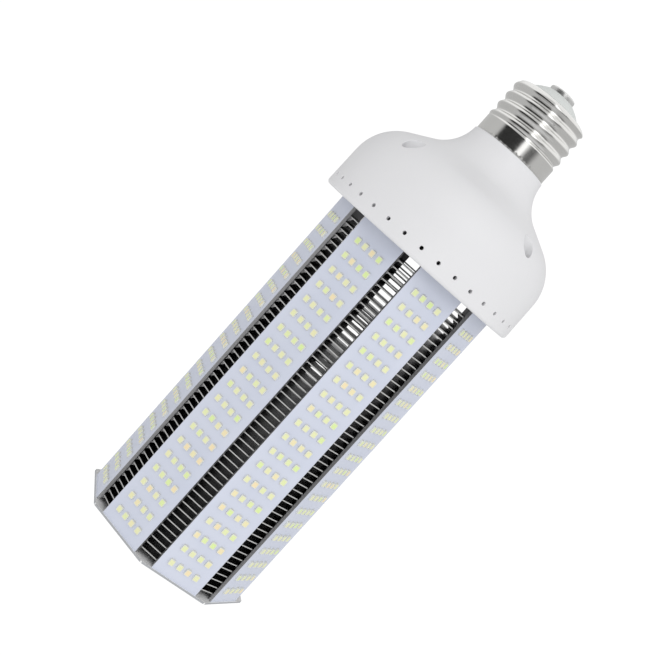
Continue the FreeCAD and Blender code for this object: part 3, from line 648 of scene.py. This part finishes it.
lowest = int(np.searchsorted(row_distances, POCKET_START)) - 1
highest = int(np.searchsorted(row_distances, distance_at(POCKET_END_RADIUS, 0))) + 1
for number in range(4):
    middle = 135 + 90 * number
    window = (lowest, highest, middle - 8, middle + 8)
    open_window(*window)
    rows, columns = window_edge(*window)
    turn = math.radians(middle - 90)
    centre = POCKET_CIRCLE * np.array([math.cos(turn), math.sin(turn)])
    edge = window_points(rows, columns)
    edge_plan = bell_point(edge[:, 0], edge[:, 1])[:, :2] - centre
    direction = edge_plan / np.linalg.norm(edge_plan, axis=1)[:, None]
    lip = plan_circle(centre, direction, POCKET_RADIUS + POCKET_LIP, 0)
    lip[:, 1] = near(lip[:, 1], turn)
    spread = between(edge, lip, [0.2, 0.4, 0.6, 0.8, 1.0])
    front = bell_point(spread[..., 0], spread[..., 1])
    fall = np.radians([30, 60, 90])[:, None]
    plan = centre + direction * (POCKET_RADIUS + POCKET_LIP * (1 - np.sin(fall)))[..., None]
    height = front[-1, :, 2] - POCKET_LIP * (1 - np.cos(fall))
    lip_loops = np.concatenate([plan, height[..., None]], axis=-1)
    well = np.array([
        (POCKET_RADIUS, SEAT + 0.3 * MM), (POCKET_RADIUS - 0.1 * MM, SEAT + 0.07 * MM),
        (POCKET_RADIUS - 0.35 * MM, SEAT), (BORE_RADIUS, SEAT),
        (BORE_RADIUS, BOSS_BOTTOM), (BOSS_RADIUS, BOSS_BOTTOM),
    ])
    well_plan = centre + direction * well[:, :1, None]
    well_height = np.broadcast_to(well[:, 1:, None], (*well_plan.shape[:2], 1))
    well_loops = np.concatenate([well_plan, well_height], axis=-1)
    foot = plan_circle(centre, direction, BOSS_RADIUS, WALL)
    foot[:, 1] = near(foot[:, 1], turn)
    back = between(edge, foot, [1.0, 0.66, 0.33])
    back = bell_point(back[..., 0], back[..., 1], WALL)
    patch = bell.place(np.concatenate([front, lip_loops, well_loops, back]))
    fill_window(rows, columns, patch)
bell.face(cells[keep])
finish_piece("bell_moulding", bell, [housing_white], ["housing"])

# %% [markdown]
# ## The screw cap
#
# The cap is one thin sheet, rolled into a thread between rollers. Its radius
# is a mean radius plus a cosine of the angle behind the helix, so a crest
# climbs one pitch in each turn. Below the thread lies a plain band, which the
# maker punches all round into the plastic neck to lock the cap. The sheet is
# thin, so the same formula with a smaller radius gives its inside.

# %% The rolled shell
SHELL_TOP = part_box("screw_shell")[1].z
BAND_RADIUS = 12.9 * MM
BAND_TOP = NECK_TOP + 5.7 * MM
PITCH = 3.62 * MM
CREST = 13.1 * MM
AMPLITUDE = 0.45 * MM
SHEET = 0.3 * MM
FIRST_CREST = 165.7 * MM
DOME_HEIGHT = 2.3 * MM
FLAT_RADIUS = 11.0 * MM
MOUTH_RADIUS = 8.9 * MM
PUNCHES = 42
SEAM = 0.18 * MM


def ease(value, low, high):
    """A smooth rise from 0 to 1: 3 s^2 - 2 s^3 of the share s of the way."""
    share = np.clip((value - low) / (high - low), 0, 1)
    return share * share * (3 - 2 * share)


def shell_radius(angle, height):
    """Mean radius plus a cosine thread, held within a dome that is part of an ellipse.

    The thread and the dome meet in a soft minimum: m - sqrt(d^2 + s^2) / 2, where m is
    the mean of both radii, d their difference and s how softly they meet.
    """
    behind = angle - 2 * np.pi * (height - FIRST_CREST) / PITCH
    rise = ease(height, BAND_TOP - 0.5 * MM, BAND_TOP + 0.7 * MM)
    mean = BAND_RADIUS + (CREST - AMPLITUDE - BAND_RADIUS) * rise
    thread = mean + AMPLITUDE * rise * np.cos(behind)
    top = np.clip((height - (SHELL_TOP - DOME_HEIGHT)) / DOME_HEIGHT, 0, 1)
    drop = (1 - np.sqrt(1 - 0.9 * top * top)) / 0.684
    dome = CREST + 0.05 * MM - (CREST - FLAT_RADIUS) * drop
    gap = thread - dome
    softened = dome + 0.5 * (gap - np.sqrt(gap * gap + (0.15 * MM) ** 2))
    return np.where(top > 0, softened, thread)


punch_dice = np.random.default_rng(3)
punch_force = punch_dice.uniform(0.06, 0.13, PUNCHES) * MM
punch_reach = punch_dice.uniform(0.5, 0.85, PUNCHES)


def punch_depth(angle, height):
    """Saw-tooth wedges at the lower edge: steep on one side, fading along and upwards."""
    turn = angle * PUNCHES / (2 * np.pi) + 0 * height
    number = np.floor(turn).astype(int) % PUNCHES
    share = turn % 1
    across = ease(share, 0, 0.12) * (1 - ease(share, 0.15, punch_reach[number]))
    along = 1 - ease(height, NECK_TOP + 0.25 * MM, NECK_TOP + 1.1 * MM)
    lip = 0.14 * MM * (1 - ease(height, NECK_TOP + SEAM, NECK_TOP + SEAM + 0.45 * MM))
    return punch_force[number] * across * along + lip


shell_angles = np.linspace(0, 2 * np.pi, 336, endpoint=False)
band_heights = NECK_TOP + SEAM + np.linspace(0, 1.6, 14) * MM
upper_heights = np.linspace(NECK_TOP + 2.4 * MM, SHELL_TOP, 124)
outer_heights = np.concatenate([band_heights, upper_heights])[:, None]
radius = shell_radius(shell_angles, outer_heights) - punch_depth(shell_angles, outer_heights)
inner_heights = np.linspace(SHELL_TOP - SHEET, NECK_TOP + SEAM, 60)[:, None]
hollow = shell_radius(shell_angles, inner_heights) - SHEET

shell = Shape()
mouth = np.array([
    (MOUTH_RADIUS + 0.1 * MM, SHELL_TOP),
    (MOUTH_RADIUS, SHELL_TOP - 0.1 * MM),
    (MOUTH_RADIUS, SHELL_TOP - SHEET),
])
numbers = shell.place(np.concatenate([
    polar_points(radius, shell_angles, outer_heights),
    polar_points(mouth[:, :1], shell_angles, mouth[:, 1:]),
    polar_points(hollow, shell_angles, inner_heights),
]))
shell.face(ribbon(np.concatenate([numbers, numbers[:1]])))
finish_piece("rolled_shell", shell, [nickel], ["screw_shell"])

# %% [markdown]
# ## Insulator and contact
#
# A pale moulded cone closes the cap, and the round contact sits on it. Both
# are lathe shapes. Their corners are rounded by a few tenths of a millimetre,
# because a sharp corner never catches the light and looks drawn.

# %% The insulating cone
CONE_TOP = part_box("cap_insulator")[1].z
cone_profile = rounded([
    (1.2 * MM, SHELL_TOP - 1.5 * MM, 0),
    (9.6 * MM, SHELL_TOP - 1.5 * MM, 0.15 * MM),
    (9.6 * MM, SHELL_TOP - 0.32 * MM, 0.1 * MM),
    (8.85 * MM, SHELL_TOP - 0.32 * MM, 0),
    (8.85 * MM, SHELL_TOP + 0.01 * MM, 0),
    (9.25 * MM, SHELL_TOP + 0.01 * MM, 0),
    (9.25 * MM, SHELL_TOP + 0.45 * MM, 0.3 * MM),
    (7.3 * MM, SHELL_TOP + 1.95 * MM, 4.0 * MM),
    (5.05 * MM, CONE_TOP - 0.03 * MM, 0.4 * MM),
    (4.6 * MM, CONE_TOP, 0.1 * MM),
    (1.2 * MM, CONE_TOP, 0),
], steps=6)
cone = Shape()
loops = cone.place(spun(cone_profile, 96))
cone.face(ribbon(np.concatenate([loops, loops[:1]])))
finish_piece("insulating_cone", cone, [insulator_grey], ["cap_insulator"])

# %% The contact with its solder
contact_low, contact_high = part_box("centre_contact")
TIP = contact_high.z
contact_profile = rounded([
    (0.02 * MM, contact_low.z, 0),
    (1.19 * MM, contact_low.z, 0.2 * MM),
    (1.19 * MM, CONE_TOP + 0.01 * MM, 0),
    (4.40 * MM, CONE_TOP + 0.01 * MM, 0.1 * MM),
    (4.44 * MM, TIP - 0.01 * MM, 0.6 * MM),
    (2.3 * MM, TIP - 0.01 * MM, 0.25 * MM),
    (2.0 * MM, TIP - 0.4 * MM, 0.2 * MM),
    (1.75 * MM, TIP - 0.4 * MM, 0),
    (1.2 * MM, TIP - 0.16 * MM, 0.7 * MM),
    (0.02 * MM, TIP - 0.12 * MM, 0),
], steps=6)
contact = Shape()
loops = contact.tube(spun(contact_profile, 72))
contact.cap(loops[0], flip=True)
contact.cap(loops[-1])
finish_piece("contact_button", contact, [contact_metal], ["centre_contact"])

# %% [markdown]
# ## The LEDs
#
# Each package is a white case with a pool of yellow phosphor, soldered at its
# upper and lower edge. A shape that is repeated 640 times has only a few dozen
# faces: an eight-cornered block, a sunk rim, a low dome, and two solder
# wedges. One array operation then places all copies of a board at once, and an
# attribute gives each LED its own tone, as the phosphor is never dosed alike.

# %% One LED package
def package_shape():
    """Points of one package as (across, up, out) in millimetres, its faces and finishes."""
    half_width, half_height, cut = 0.86, 0.99, 0.16
    corner = np.array([
        (half_width - cut, -half_height), (half_width, -half_height + cut),
        (half_width, half_height - cut), (half_width - cut, half_height),
        (-half_width + cut, half_height), (-half_width, half_height - cut),
        (-half_width, -half_height + cut), (-half_width + cut, -half_height),
    ])
    one = Shape()
    levels = [(1.0, 0.02), (1.0, 0.3), (0.985, 0.56), (0.86, 0.59), (0.8, 0.53), (0.45, 0.57)]
    loops = np.array([np.c_[corner * share, np.full(8, out)] for share, out in levels])
    numbers = one.place(loops)
    one.face(ribbon(numbers[:5]), 0)
    one.face(ribbon(numbers[4:]), 1)
    one.cap(numbers[-1], 1)
    one.cap(numbers[0], 0, flip=True)
    for side in (-1, 1):
        foot = [(-0.6, 1.22, 0.012), (0.6, 1.22, 0.012), (0.6, 0.97, 0.012), (-0.6, 0.97, 0.012)]
        head = [(-0.55, 1.19, 0.05), (0.55, 1.19, 0.05), (0.58, 0.98, 0.17), (-0.58, 0.98, 0.17)]
        wedge = np.array([foot, head]) * [side, side, 1]
        numbers = one.place(wedge)
        one.face(ribbon(numbers[:, ::-1]), 2)
        one.cap(numbers[1], 2, flip=True)
        one.cap(numbers[0], 2)
    return np.concatenate(one.points) * MM, one.faces, one.finishes


package_points, package_faces, package_finishes = package_shape()
print("one package:", len(package_points), "points")

# %% Phosphor and case
def phosphor():
    """Pale yellow with a tone of its own for each LED, and fine grains of powder."""
    sheet = Finish("phosphor", {"IOR": 1.45})
    tone = sheet.node("Attribute", {"attribute_name": "tone"}, out="Fac")
    grain = sheet.noise(0.12 * MM, 2.0)
    green = sheet.blend(sheet.step(tone, 0.0, 0.5), (0.66, 0.86, 0.32), (0.78, 0.80, 0.46))
    ground = sheet.blend(sheet.step(tone, 0.6, 1.0), green, (0.90, 0.70, 0.44))
    sheet.paint("Base Color", sheet.blend(grain * 0.5, ground, (0.93, 0.93, 0.62)))
    sheet.paint("Roughness", grain * 0.2 + 0.28)
    sheet.bump(grain, 0.01 * MM)
    return sheet.material


phosphor_yellow = phosphor()
case_white = plastic("case_white", (0.80, 0.81, 0.74), 0.35, 0.2 * MM, 0.004 * MM)

# %% All LEDs, board by board
LED_ROWS, LED_COLUMNS, COLUMN_PITCH = 20, 4, 3.0 * MM
generator = np.random.default_rng(8)
for board in range(BOARD_COUNT):
    out, across = facing(-90 + (board + 0.5) * 360 / BOARD_COUNT)
    row, column = np.meshgrid(np.arange(LED_ROWS), np.arange(LED_COLUMNS), indexing="ij")
    along, level = (column - 1.5) * COLUMN_PITCH, LOWEST_ROW + row * ROW_PITCH
    centres = np.stack([along.ravel(), level.ravel()], axis=-1)
    centres += generator.normal(0, 0.04 * MM, centres.shape)
    tilt = generator.normal(0, 0.02, len(centres))[:, None]
    local = package_points[None]
    side = local[..., 0] * np.cos(tilt) - local[..., 1] * np.sin(tilt) + centres[:, :1]
    up = local[..., 0] * np.sin(tilt) + local[..., 1] * np.cos(tilt) + centres[:, 1:]
    depth = np.broadcast_to(local[..., 2], side.shape) + FACE_RADIUS
    leds = Shape()
    placed = side[..., None] * across + up[..., None] * UP + depth[..., None] * out
    numbers = leds.place(placed)
    for faces, finish in zip(package_faces, package_finishes):
        leds.face(numbers[:, faces], int(finish[0]))
    piece = finish_piece(
        f"led_field_{board + 1}", leds, [case_white, phosphor_yellow, solder],
        [f"leds_{board + 1}"],
    )
    tones = np.repeat(generator.random(len(centres)), len(package_points))
    attribute = piece.data.attributes.new("tone", "FLOAT", "POINT")
    attribute.data.foreach_set("value", tones.astype(np.float32))

# %% [markdown]
# ## Folded tabs of the fins
#
# Every fin has a tab behind each board, folded down by 90 degrees, and the
# boards lie against the wall that these tabs make. The solids hold one flat
# wall for all of them. Here each tab is its own folded strip, with the mitred
# ends that let the press fold eight sides of one sheet without tearing it.
# A small ear is folded down beside each gap, painted near white as a painted highlight where it
# catches the light.

# %% One strip for each fin and board
tab_low, tab_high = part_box("fin_flanges")
FIN_PITCH = 2.25 * MM
FIN_SHEET = 0.35 * MM
FIN_FACE = 26.75 * MM
FIN_COUNT = round((tab_high.z - tab_low.z) / FIN_PITCH)
fin_tops = tab_low.z + FIN_PITCH * np.arange(1, FIN_COUNT + 1)
section = np.array([
    (-0.02, -0.35), (0.0, -0.38), (0.0, -2.02), (0.34, -2.02),
    (0.34, -0.25), (0.25, -0.03), (-0.02, 0.0),
]) * MM
half_width = np.interp(section[:, 1], [-2.02 * MM, -0.35 * MM], [6.9 * MM, 8.1 * MM])
tabs = Shape()
for board in range(BOARD_COUNT):
    out, across = facing(-90 + (board + 0.5) * 360 / BOARD_COUNT)
    reach = (FIN_FACE + section[:, 0])[None, None, :, None] * out
    sides = np.array([-1, 1])[None, :, None, None] * half_width[None, None, :, None] * across
    height = (fin_tops[:, None, None, None] + section[:, 1][None, None, :, None]) * UP
    numbers = tabs.place(reach + sides + height)
    ahead = np.roll(numbers, -1, axis=2)
    tabs.face(np.stack([numbers[:, 0], numbers[:, 1], ahead[:, 1], ahead[:, 0]], axis=-1))
    tabs.face(numbers[:, 0])
    tabs.face(numbers[:, 1][:, ::-1])
print("tabs:", FIN_COUNT * BOARD_COUNT)

# %% Folded ears at one end of each gap
EAR_OUT, EAR_LEFT, EAR_WIDTH = 27.0 * MM, -4.05 * MM, 1.65 * MM
ear_across = EAR_LEFT + np.array([0, 0, EAR_WIDTH])
ear_down = np.array([0, -1.45, 0]) * MM
for gap in range(BOARD_COUNT):
    out, across = facing(-90 + gap * 360 / BOARD_COUNT)
    reach = np.array([EAR_OUT - FIN_SHEET, EAR_OUT])[None, :, None, None] * out
    sides = ear_across[None, None, :, None] * across
    height = (fin_tops - FIN_SHEET)[:, None, None, None] + ear_down[None, None, :, None]
    numbers = tabs.place(reach + sides + height * UP)
    back, front = numbers[:, 0], numbers[:, 1]
    back_ahead, front_ahead = np.roll(back, -1, axis=1), np.roll(front, -1, axis=1)
    tabs.face(front, 1)
    tabs.face(back[:, ::-1], 1)
    tabs.face(np.stack([back, back_ahead, front_ahead, front], axis=-1), 1)
finish_piece("fin_tabs", tabs, [tab_bright, ear_painted_highlight], ["fin_flanges"])

# %% [markdown]
# ## Screws with a cross recess
#
# Twelve screws hold the lamp together: four in the bell's pockets, four on the
# driver, and four long ones whose countersunk heads lie in the end plate. A
# head is a lathe shape, except for its recess. So the rings of the head carry
# a height for each point, and the recess is taken off that height, as a die
# presses it into the real blank. Each screw is left at its own chance angle.

# %% The recess and the rings
def slot_share(along, aside, reach):
    """1 inside one slot and 0 outside it, with sloping ends and walls."""
    wall = ease(abs(aside), 0.16 * reach, 0.30 * reach)
    end = ease(abs(along), 0.75 * reach, reach)
    return (1 - wall) * (1 - end)


def recess(x, y, reach, depth):
    """Two crossed slots: the deeper of both at each point."""
    return depth * np.maximum(slot_share(x, y, reach), slot_share(y, x, reach))


def screw_rings(head, height, shank, length):
    """Rings from the tip to the middle of the head. Height 0 makes a countersunk head."""
    side = [(shank - 0.3 * MM, -length), (shank, 0.3 * MM - length)]
    if height:
        side += [(shank, 0), (head - 0.05 * MM, 0), (head, 0.05 * MM), (head, 0.5 * height)]
    else:
        side += [(shank, shank - head), (head, -0.05 * MM)]
    inner = head * np.linspace(0.97, 0.02, 20)
    dome = height * (0.5 + 0.5 * np.sqrt(1 - (inner / head) ** 2) ** 0.7)
    profile = np.concatenate([side, np.c_[inner, dome]])
    rings = spun(profile, 64)
    face = rings[len(side):]
    face[..., 2] -= recess(face[..., 0], face[..., 1], 0.62 * head, 0.4 * head)
    return rings


# %% Three sets of four
chance = np.random.default_rng(21)


def screw_set(name, node, rings, circle, first, level, upside_down=False):
    """Four screws on a circle, each turned by chance about its own axis."""
    shape = Shape()
    for number in range(4):
        turn = math.radians(first + 90 * number)
        spin = chance.uniform(0, math.pi)
        c, d = math.cos(spin), math.sin(spin)
        local = rings @ np.array([(c, d, 0), (-d, c, 0), (0, 0, 1)])
        if upside_down:
            local = local * [1, -1, -1]
        loops = shape.tube(local + [circle * math.cos(turn), circle * math.sin(turn), level])
        shape.cap(loops[0], flip=True)
        shape.cap(loops[-1])
    finish_piece(name, shape, [zinc_steel], [node])


PLATE_THICKNESS = 1.5 * MM
DRIVER_CIRCLE = 20.5 * MM
STACK_CIRCLE = 15.263 * MM
pocket_rings = screw_rings(2.2 * MM, 1.6 * MM, 1.5 * MM, SEAT - plate_top + PLATE_THICKNESS)
screw_set("pocket_screws", "housing_screws", pocket_rings, POCKET_CIRCLE, 45, SEAT)
driver_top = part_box("driver_board")[1].z
driver_rings = screw_rings(2.2 * MM, 1.4 * MM, 1.25 * MM, 6.6 * MM)
screw_set("board_screws", "driver_screws", driver_rings, DRIVER_CIRCLE, -67.5, driver_top)
stack_rings = screw_rings(2.75 * MM, 0, 1.5 * MM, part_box("stack_screws")[1].z)
screw_set("long_screws", "stack_screws", stack_rings, STACK_CIRCLE, -22.5, 0, upside_down=True)

# %% [markdown]
# ## Finishes for the solids that stay
#
# The other solids already have the right shape, so each only needs its finish.

# %% Giving each remaining node its finish
kept_finishes = {
    "end_plate": end_satin, "fins": fin_dark_painted_shade, "mounting_plate": plate_satin,
    "stack_nuts": zinc_steel, "driver_standoffs": spacer_brass, "driver_board": fibre_green,
    "transformer_core": ferrite_black, "transformer_coil": coil_yellow,
    "input_capacitor": sleeve_blue, "output_capacitors": sleeve_blue, "choke": ferrite_black,
    "choke_winding": winding_copper, "rectifier": ferrite_black, "fuse": fuse_green,
    "live_lead": lead_red, "neutral_lead": lead_white, "board_jumpers": lead_white,
    "supply_leads": lead_white,
}
kept_finishes.update({f"led_board_{n + 1}": board_white for n in range(BOARD_COUNT)})
for name, material in kept_finishes.items():
    nodes[name].data.materials.clear()
    nodes[name].data.materials.append(material)
bare = [n for n in nodes if not nodes[n].hide_render and n not in kept_finishes]
print("nodes without a finish of their own:", bare)

# %% [markdown]
# ## Studio
#
# The photograph has a white room without a shadow. The world and the floor are
# white to the camera. To the lamp's surfaces they are a soft gradient, brighter
# in front than at the sides. Only mirrors see what gives the metal cap its
# bands: two dark curtains with a bright streak between them, and a greyer
# floor. One soft panel adds a little shading from the upper right.

# %% What mirrors see towards each bearing
def dark_bearings(sheet):
    """Two masks, of the dark curtains and of the streak, with the place they come from.

    A bearing is in degrees, counted from the camera's side to the right.
    """
    x, y, z = sheet.split(sheet.place)
    bearing = sheet.math("ARCTAN2", x, 0 - y) * (180 / math.pi)
    left = sheet.step(bearing, -70.0, -50.0) * (1 - sheet.step(bearing, 1.0, 9.0))
    right = sheet.step(bearing, 25.0, 35.0) * (1 - sheet.step(bearing, 44.0, 68.0))
    streak = sheet.step(bearing, 6.0, 11.0) * (1 - sheet.step(bearing, 20.0, 26.0))
    return x, y, z, left + right * 0.55, streak


# %% White room
world = bpy.data.worlds.new("white_room")
scene.world = world
world.use_nodes = True
room = Sheet(world.node_tree, "Generated")
x, y, z, curtains, streak = dark_bearings(room)
open_wall = 0.60 + room.step(z, 0.15, 0.6) * 0.46 + streak * 0.7
shade = curtains * (0.40 + (1 - room.step(z, 0.40, 0.66)) * 0.46)
mirrored = room.either(open_wall - shade, 0.02)
lit = x * 0.18 - y * 0.48 + 0.70
glossy = room.node("LightPath", out="Is Glossy Ray")
seen = room.node("LightPath", out="Is Camera Ray")
WHITE_LEVEL = 1.05
strength = seen * WHITE_LEVEL + (1 - seen) * (mirrored * glossy + lit * (1 - glossy))
background = world.node_tree.nodes["Background"]
background.inputs["Color"].default_value = (1, 1, 1, 1)
room.fill(background.inputs["Strength"], strength)
print("nodes in the white room:", len(world.node_tree.nodes))

# %% One soft panel
light = bpy.data.lights.new("key_panel", "AREA")
light.size = 0.45
light.energy = 0.35
panel = bpy.data.objects.new("key_panel", light)
panel.location = (0.30, -0.60, 0.50)
aim = Vector((0, 0, 0.12)) - panel.location
panel.rotation_euler = aim.to_track_quat("-Z", "Y").to_euler()
scene.collection.objects.link(panel)
print("panel at", round(aim.length, 3), "m from the lamp")

# %% Floor
FLOOR_HALF, FLOOR_LEVEL = 3.0, -0.0002
corners = np.array([(-1, -1, 0), (1, -1, 0), (1, 1, 0), (-1, 1, 0)]) * FLOOR_HALF
floor_mesh = bpy.data.meshes.new("floor")
floor_mesh.from_pydata((corners + UP * FLOOR_LEVEL).tolist(), [], [(0, 1, 2, 3)])
matt = {"Base Color": (0.02, 0.02, 0.02), "Roughness": 1.0, "Specular IOR Level": 0.0}
sheet = Finish("floor", matt)
x, y, z, curtains, streak = dark_bearings(sheet)
dark = curtains * (sheet.step(sheet.radius(x, y), 0.20, 0.34) * 0.7 + 0.3)
mirrored = sheet.blend(dark, (0.53, 0.53, 0.53), (0.02, 0.02, 0.02))
glossy = sheet.node("LightPath", out="Is Glossy Ray")
seen = sheet.node("LightPath", out="Is Camera Ray")
dimmed = sheet.blend(glossy, (0.90, 0.90, 0.90), mirrored)
sheet.paint("Emission Color", sheet.blend(seen, dimmed, (1, 1, 1)))
sheet.paint("Emission Strength", WHITE_LEVEL)
floor_mesh.materials.append(sheet.material)
floor = bpy.data.objects.new("floor", floor_mesh)
scene.collection.objects.link(floor)
print("floor", 2 * FLOOR_HALF, "m wide")

# %% [markdown]
# ## Camera
#
# The camera stands where the photographer's did: 329 mm from the lamp's axis,
# a little above its middle, looking slightly down, and rolled by 41.9 degrees,
# which is why the lamp seems to lie across the picture. The photograph was cut
# off centre, so the lens is shifted a little.

# %% The photographer's place
YAW, PITCH_DOWN, ROLL = math.radians(1.48), math.radians(5.1), math.radians(41.89)
DISTANCE, EYE = 0.3294, 0.1186
WIDTH, HEIGHT = 659, 655
FOCAL, CENTRE_X, CENTRE_Y = 1081.4, 356.9, 325.1
SENSOR = 36.0
right = Vector((math.cos(YAW), math.sin(YAW), 0))
level_ahead = Vector((-math.sin(YAW), math.cos(YAW), 0))
ahead = level_ahead * math.cos(PITCH_DOWN) - Vector((0, 0, math.sin(PITCH_DOWN)))
above = right.cross(ahead)
camera_right = right * math.cos(ROLL) + above * math.sin(ROLL)
camera_up = above * math.cos(ROLL) - right * math.sin(ROLL)
camera_data = bpy.data.cameras.new("camera")
camera_data.sensor_width = SENSOR
camera_data.lens = FOCAL * SENSOR / WIDTH
camera_data.shift_x = (WIDTH / 2 - CENTRE_X) / WIDTH
camera_data.shift_y = (CENTRE_Y - HEIGHT / 2) / WIDTH
camera_data.clip_start, camera_data.clip_end = 0.01, 20.0
camera = bpy.data.objects.new("camera", camera_data)
turned = Matrix((camera_right, camera_up, -ahead)).transposed()
place = Vector((0, 0, EYE)) - level_ahead * DISTANCE
camera.matrix_world = Matrix.Translation(place) @ turned.to_4x4()
scene.collection.objects.link(camera)
scene.camera = camera
scene.view_settings.view_transform = "Standard"
print("camera at", np.round(np.array(place), 4), "m, lens", round(camera_data.lens, 2), "mm")

# %% Update the view layer
bpy.context.view_layer.update()
